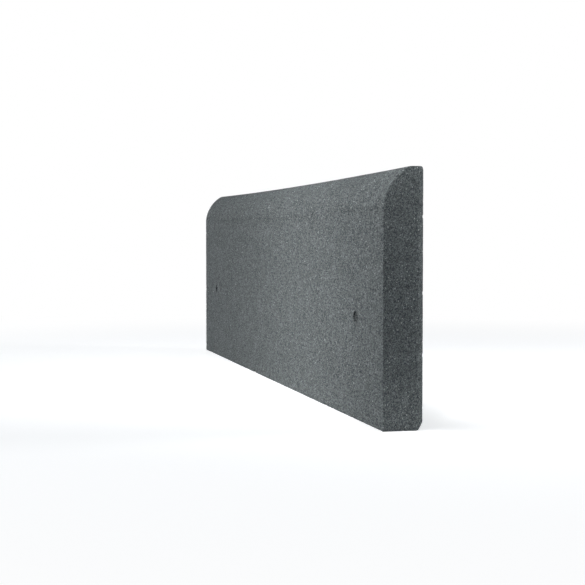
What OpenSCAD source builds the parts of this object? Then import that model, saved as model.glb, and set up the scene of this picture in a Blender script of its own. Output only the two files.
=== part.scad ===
// Rubber edging kerb: one length of pressed rubber granulate that stands on its
// narrow foot and edges a lawn, a path or a play surface. Butted end to end with
// the next one, flat back to the fill, rounded front to the side that is walked on.
//
// All in millimetres. X runs along the kerb, Y from the front face (-Y) to the
// back face (+Y), Z up from the foot. The origin is the middle of the foot.

/* [Kerb] */
// Length of one kerb, butt face to butt face
kerb_length = 1000; // [250:10:2000]
// Height from the foot to the flat top
kerb_height = 250; // [120:5:400]
// Thickness from the front face to the back face
kerb_thickness = 40; // [34:1:80]

/* [Top edge] */
// Radius of the rounding, which leaves the front face without a corner
nose_radius = 50; // [30:1:80]
// How far back over the top the rounding reaches, to its corner with the flat top
nose_depth = 26; // [6:1:26]
// Radius of the arris between the flat top and the back face
back_arris_radius = 3.5; // [1:0.5:6]

/* [Foot] */
// How far the chamfer along the foot's back corner cuts in from the back face
foot_chamfer_depth = 5; // [1:0.5:8]
// How far the same chamfer climbs the back face
foot_chamfer_height = 7.5; // [1:0.5:12]

/* [Ejector marks] */
// Diameter of the shallow round mark that each ejector pin leaves in the front face
mark_diameter = 12; // [5:0.5:20]
// Depth of a mark
mark_depth = 2; // [0.5:0.5:4]
// From a butt face to the middle of the mark nearest to it
mark_from_end = 98; // [20:1:120]

/* [Hidden] */
// How far a cut runs past the face that it opens
cut_past = 1;
// Height of the rounding, from its tangent point on the front face to the flat top
nose_height = sqrt(nose_radius^2 - (nose_radius - nose_depth)^2);
// Height of that tangent point, which is also that of the rounding's centre
nose_foot = kerb_height - nose_height;
// From the kerb's middle to the middle of either mark
mark_offset = kerb_length / 2 - mark_from_end;
// Height of the marks, halfway up the flat part of the front face
mark_height = nose_foot / 2;
$fn = 96;

// The rounding: the front top quarter square round the nose circle, less the circle.
// The circle rises above the flat top, so the two meet nose_depth from the front face.
module nose_waste() {
    difference() {
        translate([-cut_past, nose_foot])
            square(nose_radius + cut_past);
        translate([nose_radius, nose_foot])
            circle(r = nose_radius);
    }
}

// The back arris: the corner square less the circle that touches both its faces.
module back_arris_waste() {
    translate([kerb_thickness - back_arris_radius, kerb_height - back_arris_radius])
        difference() {
            square(back_arris_radius + cut_past);
            circle(r = back_arris_radius);
        }
}

// The foot's chamfer: a triangle off the back bottom corner. Its long side is the
// chamfer, carried on past the foot and the back face at the same slope.
module foot_chamfer_waste() {
    cut_past_height = cut_past * foot_chamfer_height / foot_chamfer_depth;
    polygon([
        [kerb_thickness + cut_past, -cut_past_height],
        [kerb_thickness + cut_past, foot_chamfer_height + cut_past_height],
        [kerb_thickness - foot_chamfer_depth - cut_past, -cut_past_height]
    ]);
}

// The kerb's section, in the plane that a butt face shows: across, then up.
module kerb_section() {
    difference() {
        square([kerb_thickness, kerb_height]);
        nose_waste();
        back_arris_waste();
        foot_chamfer_waste();
    }
}

// The section carried from butt face to butt face.
module kerb_body() {
    translate([-kerb_length / 2, -kerb_thickness / 2, 0])
        rotate([90, 0, 90])
            linear_extrude(height = kerb_length)
                kerb_section();
}

// One ejector mark, as the disc of rubber that is missing from the front face.
module ejector_mark() {
    translate([0, -kerb_thickness / 2 + mark_depth, mark_height])
        rotate([90, 0, 0])
            cylinder(d = mark_diameter, h = mark_depth + cut_past);
}

module kerb() {
    color("#686d6d")
        difference() {
            kerb_body();
            for (side = [-1, 1])
                translate([side * mark_offset, 0, 0])
                    ejector_mark();
        }
}

kerb();
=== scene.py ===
# %% [markdown]
# # A rubber edging kerb
#
# The object is one length of kerb, pressed in a steel mould from rubber granulate: car
# tyres shredded to grains of a millimetre or two, and glued together with polyurethane.
# From a step away it is a plain dark grey bar with a rounded front. Up close it is a mosaic
# of grains that the mould pressed flat, with dark crevices between them, a pit wherever a
# clump of grains is missing, and arrises that have crumbled a little.
#
# The plan is to work from coarse to fine. First comes the exact moulded form, by the same
# cuts that a drawing would give it. Then the missing clumps and the worn arrises go into the
# mesh itself, as fine as the triangle budget allows. The single grains are finer than that,
# so they are left to the material.

# %% The frame that the kerb has to fit
import math

import bpy
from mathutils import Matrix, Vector


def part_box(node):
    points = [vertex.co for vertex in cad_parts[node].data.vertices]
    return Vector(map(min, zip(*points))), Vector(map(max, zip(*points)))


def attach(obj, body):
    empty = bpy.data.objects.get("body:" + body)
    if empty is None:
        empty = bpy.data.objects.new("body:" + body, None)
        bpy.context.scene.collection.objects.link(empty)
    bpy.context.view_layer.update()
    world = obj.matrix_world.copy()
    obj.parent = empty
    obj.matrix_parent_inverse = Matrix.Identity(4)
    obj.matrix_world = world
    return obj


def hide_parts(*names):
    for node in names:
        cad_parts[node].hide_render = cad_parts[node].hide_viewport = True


MM = 0.001

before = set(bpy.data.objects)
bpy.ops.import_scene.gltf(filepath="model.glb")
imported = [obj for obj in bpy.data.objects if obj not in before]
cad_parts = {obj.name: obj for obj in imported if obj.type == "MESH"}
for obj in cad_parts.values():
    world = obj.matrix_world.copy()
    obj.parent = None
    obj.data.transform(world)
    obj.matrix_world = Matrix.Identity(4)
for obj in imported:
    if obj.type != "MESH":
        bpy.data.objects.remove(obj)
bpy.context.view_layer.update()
kerb_low, kerb_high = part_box("kerb")
print("kerb of", [round(side / MM) for side in kerb_high - kerb_low], "mm")

# %% [markdown]
# ## The camera
#
# The kerb is seen almost end on, from a little below its top, through a long lens. That is
# how a seller shows the section and the length at once: the butt face stays nearly square,
# and the front shrinks to a wedge. The camera stands level and looks down two degrees.

# %% The camera
CAMERA_PLACE = (1.7564, -0.3986, 0.1817)
CAMERA_TURN = math.radians(76.94)
CAMERA_DIP = math.radians(2.21)
CAMERA_LENS = 86.1

bpy.ops.object.camera_add(
    location=CAMERA_PLACE, rotation=(math.pi / 2 - CAMERA_DIP, 0, CAMERA_TURN)
)
camera = bpy.context.object
camera.data.lens = CAMERA_LENS
bpy.context.scene.camera = camera
bpy.context.scene.view_settings.view_transform = "Standard"
print("camera", round((Vector(CAMERA_PLACE) - kerb_high).length, 2), "m from the near top corner")

# %% [markdown]
# ## Two helpers
#
# Colours are written as a screen shows them, in sRGB hex. A shader works with linear light,
# so one function turns the first into the second. The other adds a node: its settings are
# the node's own properties, and its inputs are values or the sockets that feed them.
#
# A Mix node has a pair of inputs for each kind of data under the same two names, so the pair
# for colours is told by number, and so is the output that goes with it.


# %% Two helpers
MIX_FACTOR = 0
MIX_COLOUR_A = 6
MIX_COLOUR_B = 7
MIXED_COLOUR = 2


def linear(hex_colour):
    """The linear red, green, blue and alpha of an sRGB colour such as "#686d6d"."""
    channels = [int(hex_colour[start : start + 2], 16) / 255 for start in (1, 3, 5)]
    return [c / 12.92 if c <= 0.04045 else ((c + 0.055) / 1.055) ** 2.4 for c in channels] + [1.0]


def add_node(tree, kind, settings=None, inputs=None):
    """Adds a node, with its properties set and its inputs set or linked, by name or number."""
    node = tree.nodes.new(kind)
    for name, value in (settings or {}).items():
        setattr(node, name, value)
    for name, value in (inputs or {}).items():
        if isinstance(value, bpy.types.NodeSocket):
            tree.links.new(value, node.inputs[name])
        else:
            node.inputs[name].default_value = value
    return node


# %% [markdown]
# ## The studio
#
# The kerb stands on a sheet of white paper that runs out of sight. The paper is a real
# surface that takes the kerb's shadow and throws light back up at it. For the camera alone
# it also glows a little, and melts into pure white further out, so that no horizon shows.

# %% The paper
PAPER_HALF = 8.0
PAPER_WHITE = "#f2f2f2"
PAPER_GLOW = 0.55
MELTS_FROM = 0.5
MELTS_UNTIL = 1.5

bpy.ops.object.select_all(action="DESELECT")
bpy.ops.mesh.primitive_plane_add(size=2 * PAPER_HALF)
paper = bpy.context.object
paper.name = "white_paper"

white_paper = bpy.data.materials.new("white_paper")
white_paper.use_nodes = True
tree = white_paper.node_tree
tree.nodes.clear()
matt = add_node(tree, "ShaderNodeBsdfDiffuse", inputs={"Color": linear(PAPER_WHITE)})
glow = add_node(tree, "ShaderNodeEmission", inputs={"Strength": PAPER_GLOW})
lifted = add_node(tree, "ShaderNodeAddShader", inputs={0: matt.outputs[0], 1: glow.outputs[0]})
white = add_node(tree, "ShaderNodeEmission", inputs={"Strength": 1.0})
from_middle = add_node(tree, "ShaderNodeTexCoord").outputs["Object"]
distance = add_node(tree, "ShaderNodeVectorMath", {"operation": "LENGTH"}, {0: from_middle})
melted = add_node(
    tree,
    "ShaderNodeMapRange",
    {"interpolation_type": "SMOOTHSTEP"},
    {"Value": distance.outputs["Value"], "From Min": MELTS_FROM, "From Max": MELTS_UNTIL},
)
shown = add_node(
    tree,
    "ShaderNodeMixShader",
    inputs={0: melted.outputs[0], 1: lifted.outputs[0], 2: white.outputs[0]},
)
rays = add_node(tree, "ShaderNodeLightPath")
either = add_node(
    tree,
    "ShaderNodeMixShader",
    inputs={0: rays.outputs["Is Camera Ray"], 1: matt.outputs[0], 2: shown.outputs[0]},
)
add_node(tree, "ShaderNodeOutputMaterial", inputs={"Surface": either.outputs[0]})
paper.data.materials.append(white_paper)
print("paper:", 2 * PAPER_HALF, "m wide, pure white from", MELTS_UNTIL, "m out")

# %% [markdown]
# The room around it is the same trick the other way round: for the kerb a dim, even light,
# faintly blue as daylight is in the shade, and for the camera plain white.

# %% The room
ROOM_LIGHT = "#71777d"
WHITE = (1.0, 1.0, 1.0, 1.0)

room = bpy.data.worlds.new("white_room")
room.use_nodes = True
bpy.context.scene.world = room
tree = room.node_tree
tree.nodes.clear()
seen = add_node(tree, "ShaderNodeLightPath").outputs["Is Camera Ray"]
walls = add_node(
    tree,
    "ShaderNodeMix",
    {"data_type": "RGBA"},
    {MIX_FACTOR: seen, MIX_COLOUR_A: linear(ROOM_LIGHT), MIX_COLOUR_B: WHITE},
)
light = add_node(tree, "ShaderNodeBackground", inputs={"Color": walls.outputs[MIXED_COLOUR]})
add_node(tree, "ShaderNodeOutputWorld", inputs={"Surface": light.outputs[0]})
print("the room lights the kerb with", ROOM_LIGHT)

# %% [markdown]
# The lamps are soft boxes, as a studio has them. A big one stands before the kerb, another
# hangs high over it, and a long one closer over the crest, so that the rounding gets lighter
# towards the top. A small key stands low before the near half of the front, close enough for
# its light to fall off along the kerb, and a lamp far to the left grazes the front to make up
# for that at the far end. Hardly any of this reaches the butt face, which stays in the half
# light of the room and so stands out from the front. The lamp behind the kerb catches its worn
# back arris. The last two are narrow beams: one on the near end of the crest, and one on the
# paper before the butt face, which throws it back up at the foot.


# %% The lamps
NO_BEAM = 180


def soft_box(name, place, aim, width, height, watts, spread=NO_BEAM):
    """A rectangular lamp at one place, turned to another."""
    turn = (Vector(aim) - Vector(place)).to_track_quat("-Z", "Y").to_euler()
    bpy.ops.object.light_add(type="AREA", location=place, rotation=turn)
    lamp = bpy.context.object
    lamp.name = name
    lamp.data.shape = "RECTANGLE"
    lamp.data.size = width
    lamp.data.size_y = height
    lamp.data.energy = watts
    lamp.data.spread = math.radians(spread)


# Name, place, aim, width and height in metres, watts, and for a beam its spread in degrees.
soft_box("front", (0.2, -2.2, 0.6), (0.1, 0, 0.12), 1.6, 0.8, 10)
soft_box("top", (0.1, -0.5, 2.2), (0.1, 0, 0.12), 1.6, 1.0, 8.6)
soft_box("key", (0.2, -1.0, 0.35), (0.2, 0, 0.12), 0.3, 0.3, 0.21, spread=40)
soft_box("left", (-2.0, -0.7, 0.4), (0.2, 0, 0.12), 0.5, 0.5, 3.9)
soft_box("crest", (0.3, -0.35, 1.3), (0.1, 0, 0.25), 0.9, 0.15, 0.6, spread=50)
soft_box("back", (0.45, 1.6, 0.5), (0.45, 0, 0.12), 0.5, 0.6, 12)
soft_box("near_end", (0.95, -0.25, 0.9), (0.5, 0, 0.27), 0.1, 0.1, 0.019, spread=12)
soft_box("foot", (0.54, 0, 0.45), (0.54, 0, 0), 0.04, 0.06, 0.013, spread=10)

# %% [markdown]
# ## The moulded form
#
# The kerb's section is a tall rectangle with three of its corners changed. The front top one
# is a rounding of 50 mm radius, which meets the flat top in a low corner, softened a little,
# and the front in one so low that only its change of shade shows. The back top corner is a
# small arris, and the back bottom one a chamfer.
#
# The rounding could be drawn point by point. It is quicker to work as a mason does: take a
# block that is too large all round, bevel its whole front top edge to the radius, and saw the
# top, the back and a sliver of the front down to size. Both low corners come out by themselves.

# %% The sizes of the section
NOSE_RADIUS = 50 * MM
NOSE_DEPTH = 26 * MM
BACK_ARRIS_RADIUS = 3.5 * MM
FOOT_CHAMFER_DEPTH = 5 * MM
FOOT_CHAMFER_HEIGHT = 7.5 * MM

nose_height = math.sqrt(NOSE_RADIUS**2 - (NOSE_RADIUS - NOSE_DEPTH) ** 2)
nose_foot = kerb_high.z - nose_height
front, back, top = kerb_low.y, kerb_high.y, kerb_high.z
length = kerb_high.x - kerb_low.x
print("the rounding starts", round(nose_foot / MM, 1), "mm above the foot")


# %% Edit-mode helpers
SAME_WITHIN = 0.01 * MM


def only(thing):
    """Makes one object the only selected one, and the active one."""
    bpy.ops.object.select_all(action="DESELECT")
    thing.select_set(True)
    bpy.context.view_layer.objects.active = thing


def select_edges(thing, wanted):
    """In edit mode: selects just the edges of which both ends pass a test of their place."""
    bpy.ops.mesh.select_all(action="DESELECT")
    bpy.ops.object.mode_set(mode="OBJECT")
    points = thing.data.vertices
    for edge in thing.data.edges:
        edge.select = all(wanted(points[end].co) for end in edge.vertices)
    bpy.ops.object.mode_set(mode="EDIT")


def near(a, b):
    """True where two lengths are the same but for rounding."""
    return abs(a - b) < SAME_WITHIN


def saw(place, outward):
    """In edit mode: saws off all that lies past a plane, and closes the cut."""
    bpy.ops.mesh.select_all(action="SELECT")
    bpy.ops.mesh.bisect(
        plane_co=place, plane_no=Vector(outward).normalized(), use_fill=True, clear_outer=True
    )


# %% The block, rounded and sawn down
NOSE_SEGMENTS = 40
SAWN_OFF_FRONT = 0.45 * MM
SAWN_OFF_BACK = 20 * MM
block_top = nose_foot + NOSE_RADIUS
block_front = front - SAWN_OFF_FRONT
block_back = back + SAWN_OFF_BACK

bpy.ops.object.select_all(action="DESELECT")
bpy.ops.mesh.primitive_cube_add(
    size=1,
    location=(0, (block_front + block_back) / 2, block_top / 2),
    scale=(length, block_back - block_front, block_top),
)
kerb = bpy.context.object
kerb.name = "pressed_kerb"
bpy.ops.object.transform_apply(location=True, rotation=True, scale=True)
bpy.ops.object.mode_set(mode="EDIT")
bpy.ops.mesh.select_mode(type="EDGE")
select_edges(kerb, lambda point: near(point.y, block_front) and near(point.z, block_top))
bpy.ops.mesh.bevel(offset=NOSE_RADIUS, segments=NOSE_SEGMENTS, affect="EDGES")
saw((0, 0, top), (0, 0, 1))
saw((0, back, 0), (0, 1, 0))
saw((0, front, 0), (0, -1, 0))
low_corner = nose_foot + math.sqrt(NOSE_RADIUS**2 - (NOSE_RADIUS - SAWN_OFF_FRONT) ** 2)
print("the front's low corner is", round((top - low_corner) / MM, 1), "mm under the crest")

# %% The corner at the flat top, softened
CREST_WORN = 0.35 * MM

crest_turn = math.acos((top - nose_foot) / NOSE_RADIUS)
crest_corner = Vector((0, block_front + NOSE_RADIUS * (1 - math.sin(crest_turn)), top))
midway = Vector((0, -math.sin(crest_turn / 2), math.cos(crest_turn / 2)))
saw(crest_corner - CREST_WORN * midway, midway)
bpy.ops.object.mode_set(mode="OBJECT")
print("the corner at the top turned", round(math.degrees(crest_turn), 1), "degrees")

# %% [markdown]
# The mould's loose end plates leave a crisp arris towards the front. Towards the back the
# kerb was dragged out past the plates' edges, which wore the upright arrises to a slope, wide
# on the butt face and narrower on the back. A saw cut makes the slope, and a bevel rounds it
# over into the butt face.

# %% The worn upright arrises
WORN_ON_BUTT = 4.5 * MM
WORN_ON_BACK = 2.4 * MM
WORN_ROUNDING = 2 * MM
WORN_SEGMENTS = 3

bpy.ops.object.mode_set(mode="EDIT")
for side in (-1, 1):
    saw((side * length / 2, back - WORN_ON_BUTT, 0), (side * WORN_ON_BUTT, WORN_ON_BACK, 0))
    select_edges(
        kerb, lambda point: near(point.x, side * length / 2) and near(point.y, back - WORN_ON_BUTT)
    )
    bpy.ops.mesh.bevel(offset=WORN_ROUNDING, segments=WORN_SEGMENTS, affect="EDGES")
bpy.ops.object.mode_set(mode="OBJECT")
print("with worn arrises:", len(kerb.data.polygons), "faces")

# %% The back arris and the foot chamfer
BACK_ARRIS_SEGMENTS = 6

bpy.ops.object.mode_set(mode="EDIT")
select_edges(kerb, lambda point: near(point.y, back) and near(point.z, top))
bpy.ops.mesh.bevel(offset=BACK_ARRIS_RADIUS, segments=BACK_ARRIS_SEGMENTS, affect="EDGES")
saw((0, back, FOOT_CHAMFER_HEIGHT), (0, FOOT_CHAMFER_HEIGHT, -FOOT_CHAMFER_DEPTH))
bpy.ops.object.mode_set(mode="OBJECT")
print("section:", len(kerb.data.polygons), "faces")

# %% [markdown]
# ## The crumb
#
# The form has a few dozen long faces, with no points between their corners to push in. A
# voxel remesh covers it in even squares of under a millimetre, which also takes the first
# sharpness off the arrises, as demoulding does.

# %% Even squares
FINE_STEP = 0.8 * MM

remesh = kerb.modifiers.new("even_squares", "REMESH")
remesh.mode = "VOXEL"
remesh.voxel_size = FINE_STEP
only(kerb)
bpy.ops.object.modifier_apply(modifier=remesh.name)
print("remeshed:", len(kerb.data.polygons), "faces")

# %% [markdown]
# Where a clump of grains is missing there is a pit. A Voronoi pattern divides space into
# irregular cells of a clump's size, and gives each cell a random colour: the cells whose red
# is under a limit are the missing ones. One function builds those nodes, for the relief
# here and again for the material, so that both know the same pits.

# %% The missing clumps
CLUMP_MM = 2.6
MISSING_SHARE = 0.06
BANK_WIDTH = 0.22
BANK_STARTS = 0.3


def missing_clumps(tree, place_mm, share):
    """Adds nodes that give 1 in the middle of each missing clump, and 0 outside them."""
    scale = {"Vector": place_mm, "Scale": 1 / CLUMP_MM}
    cells = add_node(tree, "ShaderNodeTexVoronoi", inputs=scale)
    borders = add_node(tree, "ShaderNodeTexVoronoi", {"feature": "DISTANCE_TO_EDGE"}, scale)
    lot = add_node(tree, "ShaderNodeSeparateXYZ", inputs={0: cells.outputs["Color"]})
    missing = add_node(
        tree, "ShaderNodeMath", {"operation": "LESS_THAN"}, {0: lot.outputs[0], 1: share}
    )
    bank = add_node(
        tree,
        "ShaderNodeMapRange",
        inputs={
            "Value": borders.outputs["Distance"],
            "From Max": BANK_WIDTH,
            "To Min": BANK_STARTS,
        },
    )
    pit = add_node(
        tree,
        "ShaderNodeMath",
        {"operation": "MULTIPLY"},
        {0: missing.outputs[0], 1: bank.outputs[0]},
    )
    return pit.outputs[0]


# %% [markdown]
# Two parts of the mould meet at the front's low corner. The crumb beside that joint is pressed
# least, and more of its clumps are missing, so a faint dark line runs along under the corner,
# partly the real shade of the pits and partly the painted shade that the material gives them.
# The share of missing clumps rises with nearness to the joint, in the section's plane.

# %% The mould's joint
JOINT_UNDER_CORNER = 4 * MM
JOINT_REACH_MM = 5.0
JOINT_MISSING_SHARE = 0.35

joint_mm = (0, front / MM, (low_corner - JOINT_UNDER_CORNER) / MM)
print("the joint lies", round(joint_mm[2], 1), "mm above the foot")


def missing_share(tree, place_mm):
    """Adds nodes that give the share of the clumps that is missing round a place."""
    section = add_node(
        tree, "ShaderNodeVectorMath", {"operation": "MULTIPLY"}, {0: place_mm, 1: (0, 1, 1)}
    )
    away = add_node(
        tree, "ShaderNodeVectorMath", {"operation": "DISTANCE"}, {0: section.outputs[0], 1: joint_mm}
    )
    share = add_node(
        tree,
        "ShaderNodeMapRange",
        inputs={
            "Value": away.outputs["Value"],
            "From Max": JOINT_REACH_MM,
            "To Min": JOINT_MISSING_SHARE,
            "To Max": MISSING_SHARE,
        },
    )
    return share.outputs[0]


# %% [markdown]
# The crest isn't quite straight either. Warm rubber shrinks as it cools, and most where it is
# thickest, so the crest sinks a few millimetres at mid-length. The drop is a parabola along
# the kerb, full at the top and nothing at the foot, which keeps the foot flat on the floor.
# The material has to undo it to find the relief's pits, so it is a function too.

# %% The sunk crest
CREST_SINKS = 2.5 * MM


def sinking(tree, place):
    """Adds nodes that give the scale, along each axis, by which the kerb sank at a place."""
    along = add_node(tree, "ShaderNodeSeparateXYZ", inputs={0: place})
    reach = add_node(
        tree, "ShaderNodeMath", {"operation": "DIVIDE"}, {0: along.outputs["X"], 1: length / 2}
    ).outputs[0]
    bow = add_node(
        tree, "ShaderNodeMath", {"operation": "MULTIPLY_ADD"}, {0: reach, 1: reach, 2: -1.0}
    )
    upright = add_node(
        tree,
        "ShaderNodeMath",
        {"operation": "MULTIPLY_ADD"},
        {0: bow.outputs[0], 1: CREST_SINKS / top, 2: 1.0},
    )
    scale = add_node(
        tree, "ShaderNodeCombineXYZ", inputs={"X": 1.0, "Y": 1.0, "Z": upright.outputs[0]}
    )
    return scale.outputs[0]


# %% [markdown]
# Geometry Nodes push the points in along their normals, by a pit's depth in the missing
# clumps, and by a long low wave everywhere, because no press spreads its crumb quite evenly.
#
# At an arris the clumps have less to hold on to, so more are missing. Blurring the normals
# finds the arrises: where the faces on both sides point different ways, the blurred normal
# gets shorter than one.

# %% How far each point goes in
PIT_DEPTH = 0.75 * MM
ARRIS_MISSING_SHARE = 0.3
ARRIS_NORMAL = 0.7
BLUR_STEPS = 3
WAVE_MM = 18.0
WAVE_DETAIL = 1.0
WAVE_DEPTH = 0.25 * MM

relief = bpy.data.node_groups.new("crumb", "GeometryNodeTree")
relief.interface.new_socket("Geometry", in_out="INPUT", socket_type="NodeSocketGeometry")
relief.interface.new_socket("Geometry", in_out="OUTPUT", socket_type="NodeSocketGeometry")
whole = add_node(relief, "NodeGroupInput").outputs[0]
place = add_node(relief, "GeometryNodeInputPosition").outputs[0]
place_mm = add_node(
    relief, "ShaderNodeVectorMath", {"operation": "SCALE"}, {0: place, "Scale": 1 / MM}
).outputs[0]
normal = add_node(relief, "GeometryNodeInputNormal").outputs[0]
blurred = add_node(
    relief,
    "GeometryNodeBlurAttribute",
    {"data_type": "FLOAT_VECTOR"},
    {"Value": normal, "Iterations": BLUR_STEPS},
)
shortened = add_node(
    relief, "ShaderNodeVectorMath", {"operation": "LENGTH"}, {0: blurred.outputs["Value"]}
)
arris_share = add_node(
    relief,
    "ShaderNodeMapRange",
    inputs={
        "Value": shortened.outputs["Value"],
        "From Min": 1.0,
        "From Max": ARRIS_NORMAL,
        "To Min": MISSING_SHARE,
        "To Max": ARRIS_MISSING_SHARE,
    },
)
share = add_node(
    relief,
    "ShaderNodeMath",
    {"operation": "MAXIMUM"},
    {0: arris_share.outputs[0], 1: missing_share(relief, place_mm)},
)
pit = missing_clumps(relief, place_mm, share.outputs[0])
pit_depth = add_node(relief, "ShaderNodeMath", {"operation": "MULTIPLY"}, {0: pit, 1: PIT_DEPTH})
wave = add_node(
    relief,
    "ShaderNodeTexNoise",
    inputs={"Vector": place_mm, "Scale": 1 / WAVE_MM, "Detail": WAVE_DETAIL},
)
depth = add_node(
    relief,
    "ShaderNodeMath",
    {"operation": "MULTIPLY_ADD"},
    {0: wave.outputs[0], 1: WAVE_DEPTH, 2: pit_depth.outputs[0]},
)
inward = add_node(
    relief, "ShaderNodeMath", {"operation": "MULTIPLY"}, {0: depth.outputs[0], 1: -1.0}
)
push = add_node(
    relief, "ShaderNodeVectorMath", {"operation": "SCALE"}, {0: normal, "Scale": inward.outputs[0]}
)
print("no point goes in more than", round((PIT_DEPTH + WAVE_DEPTH) / MM, 2), "mm")

# %% The relief, applied
moved = add_node(
    relief,
    "ShaderNodeVectorMath",
    {"operation": "MULTIPLY_ADD"},
    {0: place, 1: sinking(relief, place), 2: push.outputs[0]},
)
pushed = add_node(
    relief, "GeometryNodeSetPosition", inputs={"Geometry": whole, "Position": moved.outputs[0]}
)
add_node(relief, "NodeGroupOutput", inputs={0: pushed.outputs[0]})

crumb = kerb.modifiers.new("crumb", "NODES")
crumb.node_group = relief
only(kerb)
bpy.ops.object.modifier_apply(modifier=crumb.name)
crest = max(point.co.z for point in kerb.data.vertices)
print("crest", round((top - crest) / MM, 2), "mm under the mould's")

# %% [markdown]
# The even squares are far more than the flat stretches need. Decimating by collapse takes
# the points away where the surface is nearly flat, and keeps them round the pits.

# %% Down to the triangle budget
MOST_TRIANGLES = 198_000

thin = kerb.modifiers.new("thin_out", "DECIMATE")
thin.ratio = min(1.0, MOST_TRIANGLES / (2 * len(kerb.data.polygons)))
bpy.ops.object.modifier_apply(modifier=thin.name)
print("thinned to", len(kerb.data.polygons), "faces")

# %% [markdown]
# ## The ejector marks
#
# Two pins pushed the hot kerb out of its mould, and each left a shallow round mark in the
# front. A boolean with a short cylinder cuts one as the steel pin did. It comes after the
# remesh, whose squares are too coarse for the crisp rim of a mark two millimetres deep.


# %% The marks
PIN_SIDES = 48


def carve(target, tool, operation="DIFFERENCE"):
    """Takes the tool's shape out of the target or adds it, and then the tool off the scene."""
    modifier = target.modifiers.new("carve", "BOOLEAN")
    modifier.operation = operation
    modifier.object = tool
    only(target)
    bpy.ops.object.modifier_apply(modifier=modifier.name)
    bpy.data.objects.remove(tool)


def pin(place, radius, tip, root):
    """A round steel pin through a place on the front, from one depth in it to another."""
    bpy.ops.mesh.primitive_cylinder_add(
        vertices=PIN_SIDES,
        radius=radius,
        depth=root - tip,
        location=(place[0], place[1] + (tip + root) / 2, place[2]),
        rotation=(math.pi / 2, 0, 0),
    )
    return bpy.context.object


MARK_RADIUS = 6 * MM
MARK_DEPTH = 2 * MM
MARK_FROM_END = 98 * MM
PAST = 1 * MM

mark_reach = length / 2 - MARK_FROM_END
mark_height = nose_foot / 2

for side in (-1, 1):
    mark = (side * mark_reach, front, mark_height)
    carve(kerb, pin(mark, MARK_RADIUS, -PAST, MARK_DEPTH))
print("with its marks:", len(kerb.data.polygons), "faces")

# %% [markdown]
# The pin on the right rocked as it drew back. It widened its mark to the left and the right,
# scraped the front below it, and left a nub of rubber standing in it, almost as high as the
# front.

# %% The torn mark
ROCKED_TO = (-1.0 * MM, 3.5 * MM)
SCRAPE_PLACE = Vector((-3.5, 0, -6.0)) * MM
SCRAPE_HALF_MM = (2.0, 1.2, 4.0)
NUB_PLACE = Vector((3.0, 0, -1.2)) * MM
NUB_RADIUS = 2.0 * MM
NUB_TOP = 0.1 * MM
BALL_SUBDIVISIONS = 3

right_mark = Vector((mark_reach, front, mark_height))


def rough_ball(place, half_mm):
    """A ball of flat facets, as large each way as its three half sizes say."""
    scale = [half * MM for half in half_mm]
    bpy.ops.mesh.primitive_ico_sphere_add(
        subdivisions=BALL_SUBDIVISIONS, radius=1, location=place, scale=scale
    )
    return bpy.context.object


for rocked in ROCKED_TO:
    hole = right_mark + Vector((rocked, 0, 0))
    carve(kerb, pin(hole, MARK_RADIUS, -PAST, MARK_DEPTH))
carve(kerb, rough_ball(right_mark + SCRAPE_PLACE, SCRAPE_HALF_MM))
carve(kerb, pin(right_mark + NUB_PLACE, NUB_RADIUS, NUB_TOP, MARK_DEPTH + PAST), "UNION")
print("torn:", len(kerb.data.polygons), "faces")

# %% [markdown]
# A handler has knocked a chip out of the foot's front arris.

# %% The chip
CHIP_ACROSS = -105 * MM
CHIP_HALF_MM = (7.0, 4.0, 4.5)

carve(kerb, rough_ball((CHIP_ACROSS, front, 0), CHIP_HALF_MM))
print("chipped:", len(kerb.data.polygons), "faces")

# %% [markdown]
# The surface is shaded smooth, except across any edge that turns more than 50 degrees: the
# rims of the marks and of the chip, and the steepest banks of the pits.

# %% Smooth faces, sharp rims
SHARP_FROM = math.radians(50)

only(kerb)
bpy.ops.object.shade_smooth_by_angle(angle=SHARP_FROM)
print("sharp edges:", sum(edge.use_edge_sharp for edge in kerb.data.edges))

# %% [markdown]
# ## The material
#
# Pressed rubber granulate is shredded tyre, black with carbon, glued with polyurethane and
# pressed hot. Each grain was cut or torn its own way, so each shows as one even tone of dark,
# faintly blue grey. The glue leaves the surface matt. A grain in a hundred is painted far
# paler: partly a shred of the tyre's pale fibre, and partly a painted glint, the highlight
# that a fresh-cut facet catches.
#
# A picture of such a surface would repeat along a metre of kerb, and plain noise has no
# grains in it. A Voronoi pattern has: each of its cells keeps one random colour, and the
# distance to its border marks the crevice. The grains are a millimetre or two across. The
# press squeezed them through the kerb's thickness, so the space that the pattern lives in is
# stretched: the cells come out broad on the front and thin on the butt face.

# %% Places, counted in millimetres and in grains
GRAIN_MM = (2.0, 0.7, 1.0)

granulate = bpy.data.materials.new("pressed_rubber_granulate")
granulate.use_nodes = True
tree = granulate.node_tree
shader = tree.nodes["Principled BSDF"]
place = add_node(tree, "ShaderNodeTexCoord").outputs["Object"]
unsunk = add_node(
    tree, "ShaderNodeVectorMath", {"operation": "DIVIDE"}, {0: place, 1: sinking(tree, place)}
).outputs[0]
place_mm = add_node(
    tree, "ShaderNodeVectorMath", {"operation": "SCALE"}, {0: unsunk, "Scale": 1 / MM}
).outputs[0]
place_in_grains = add_node(
    tree, "ShaderNodeVectorMath", {"operation": "DIVIDE"}, {0: place_mm, 1: GRAIN_MM}
).outputs[0]
grain_place = {"Vector": place_in_grains, "Scale": 1.0}
print("grains on the front:", round(length * nose_foot / (GRAIN_MM[0] * GRAIN_MM[2] * MM**2)))

# %% [markdown]
# The cell's red picks its tone from a ramp between the darkest and the palest grain. Its
# green, which knows nothing of its red, picks out the few pale ones: shreds of pale fibre and
# painted glints, the highlights that fresh-cut facets catch.

# %% One tone for each grain
GRAIN_DARK = "#444a4d"
GRAIN_PALE = "#8d9392"
FIBRE_AND_GLINT_PALE = "#c4cac6"
FIBRE_AND_GLINT_SHARE = 0.012

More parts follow.
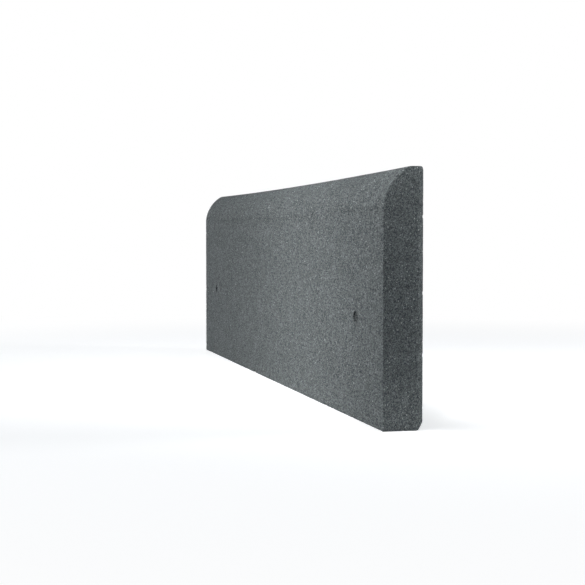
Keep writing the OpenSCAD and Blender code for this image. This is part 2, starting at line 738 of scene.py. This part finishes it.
grains = add_node(tree, "ShaderNodeTexVoronoi", inputs=grain_place)
lot = add_node(tree, "ShaderNodeSeparateXYZ", inputs={0: grains.outputs["Color"]})
tone = add_node(tree, "ShaderNodeValToRGB", inputs={0: lot.outputs[0]})
tone.color_ramp.elements[0].color = linear(GRAIN_DARK)
tone.color_ramp.elements[1].color = linear(GRAIN_PALE)
# Painted glints and shreds of pale fibre, in one grain in a hundred.
is_fibre_or_glint = add_node(
    tree, "ShaderNodeMath", {"operation": "LESS_THAN"}, {0: lot.outputs[1], 1: FIBRE_AND_GLINT_SHARE}
)
grain_colour = add_node(
    tree,
    "ShaderNodeMix",
    {"data_type": "RGBA"},
    {
        MIX_FACTOR: is_fibre_or_glint.outputs[0],
        MIX_COLOUR_A: tone.outputs[0],
        MIX_COLOUR_B: linear(FIBRE_AND_GLINT_PALE),
    },
)
print("one grain in", round(1 / FIBRE_AND_GLINT_SHARE), "is a pale one")

# %% [markdown]
# The floors of the ejector marks get painted shade, the shadow that falls deep in a recess.
# The absolute value of a place folds both marks onto one, and the painted shade comes in with
# depth, so the nub and the rims keep the colour of the front. The back is folded onto the front
# with it, but its pits are hardly deep enough to take any of the painted shade.

# %% The painted shade in the marks
MARK_SHADE_WITHIN_MM = 12.0
MARK_SHADE_FROM_MM = 0.7

folded = add_node(tree, "ShaderNodeVectorMath", {"operation": "ABSOLUTE"}, {0: place_mm}).outputs[0]
on_front = add_node(
    tree, "ShaderNodeVectorMath", {"operation": "MULTIPLY"}, {0: folded, 1: (1, 0, 1)}
)
from_mark = add_node(
    tree,
    "ShaderNodeVectorMath",
    {"operation": "DISTANCE"},
    {0: on_front.outputs[0], 1: (mark_reach / MM, 0, mark_height / MM)},
)
within = add_node(
    tree,
    "ShaderNodeMath",
    {"operation": "LESS_THAN"},
    {0: from_mark.outputs["Value"], 1: MARK_SHADE_WITHIN_MM},
)
folded_axes = add_node(tree, "ShaderNodeSeparateXYZ", inputs={0: folded})
deep = add_node(
    tree,
    "ShaderNodeMapRange",
    inputs={
        "Value": folded_axes.outputs["Y"],
        "From Min": -front / MM - MARK_SHADE_FROM_MM,
        "From Max": (-front - MARK_DEPTH) / MM,
    },
)
painted_mark_shade = add_node(
    tree, "ShaderNodeMath", {"operation": "MULTIPLY"}, {0: within.outputs[0], 1: deep.outputs[0]}
)
print("the marks lie", round(mark_reach / MM), "mm to each side of the middle")

# %% [markdown]
# Four things darken a grain or lift it. Three are painted shade: in the crevice round it, where
# little light gets in, in the pit that it lies in, and on the floor of a mark. The fourth is the
# tone of the patch that it belongs to, because no two shovels of granulate are alike. Each is
# a factor near one, and the four are multiplied.

# %% Crevices, pits and patches
CREVICE_WIDTH = 0.12
CREVICE_SHADE = 0.55
PIT_SHADE = 0.85
MARK_FLOOR_SHADE = 0.5
PATCH_MM = 14.0
PATCH_DETAIL = 3.0
PATCH_NOISE = (0.3, 0.7)
PATCH_SHADE = (0.92, 1.12)

# Painted shade in the crevices between the grains.
borders = add_node(tree, "ShaderNodeTexVoronoi", {"feature": "DISTANCE_TO_EDGE"}, grain_place)
crevice = add_node(
    tree,
    "ShaderNodeMapRange",
    inputs={
        "Value": borders.outputs["Distance"],
        "From Max": CREVICE_WIDTH,
        "To Min": CREVICE_SHADE,
    },
)
# Painted shade in the pits of the missing clumps.
shade_in_pit = add_node(
    tree,
    "ShaderNodeMapRange",
    inputs={
        "Value": missing_clumps(tree, place_mm, missing_share(tree, place_mm)),
        "To Min": 1.0,
        "To Max": PIT_SHADE,
    },
)
# Painted shade on the floors of the marks.
shade_in_mark = add_node(
    tree,
    "ShaderNodeMapRange",
    inputs={"Value": painted_mark_shade.outputs[0], "To Min": 1.0, "To Max": MARK_FLOOR_SHADE},
)
patches = add_node(
    tree,
    "ShaderNodeTexNoise",
    inputs={"Vector": place_mm, "Scale": 1 / PATCH_MM, "Detail": PATCH_DETAIL},
)
patch = add_node(
    tree,
    "ShaderNodeMapRange",
    inputs={
        "Value": patches.outputs[0],
        "From Min": PATCH_NOISE[0],
        "From Max": PATCH_NOISE[1],
        "To Min": PATCH_SHADE[0],
        "To Max": PATCH_SHADE[1],
    },
)
factor = crevice.outputs[0]
for next_factor in (patch, shade_in_pit, shade_in_mark):
    factor = add_node(
        tree, "ShaderNodeMath", {"operation": "MULTIPLY"}, {0: factor, 1: next_factor.outputs[0]}
    ).outputs[0]

# %% The colour
MATT = 0.88

colour = add_node(
    tree,
    "ShaderNodeMix",
    {"data_type": "RGBA", "blend_type": "MULTIPLY"},
    {MIX_FACTOR: 1.0, MIX_COLOUR_A: grain_colour.outputs[MIXED_COLOUR], MIX_COLOUR_B: factor},
)
tree.links.new(colour.outputs[MIXED_COLOUR], shader.inputs["Base Color"])
shader.inputs["Roughness"].default_value = MATT

# %% [markdown]
# No grain lies quite flat with the surface. The arm from a cell's middle to the place that is
# shaded, times a random direction of the cell's own, gives a height that slopes evenly across
# the grain and jumps at its border. The crevices are sunk into the same height.

# %% The lean of each grain
LEAN_HEIGHT = 0.4 * MM
CREVICE_DEPTH = 0.35
MIDDLE_GREY = (0.5, 0.5, 0.5)

arm = add_node(
    tree,
    "ShaderNodeVectorMath",
    {"operation": "SUBTRACT"},
    {0: place_in_grains, 1: grains.outputs["Position"]},
)
lean = add_node(
    tree,
    "ShaderNodeVectorMath",
    {"operation": "SUBTRACT"},
    {0: grains.outputs["Color"], 1: MIDDLE_GREY},
)
slope = add_node(
    tree, "ShaderNodeVectorMath", {"operation": "DOT_PRODUCT"}, {0: arm.outputs[0], 1: lean.outputs[0]}
)
height = add_node(
    tree,
    "ShaderNodeMath",
    {"operation": "MULTIPLY_ADD"},
    {0: crevice.outputs[0], 1: CREVICE_DEPTH, 2: slope.outputs["Value"]},
)
bump = add_node(
    tree,
    "ShaderNodeBump",
    inputs={"Height": height.outputs[0], "Distance": LEAN_HEIGHT, "Strength": 1.0},
)
tree.links.new(bump.outputs[0], shader.inputs["Normal"])
kerb.data.materials.clear()
kerb.data.materials.append(granulate)
print("nodes in the granulate:", len(tree.nodes))

# %% What stands for what
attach(kerb, "root")
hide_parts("kerb")
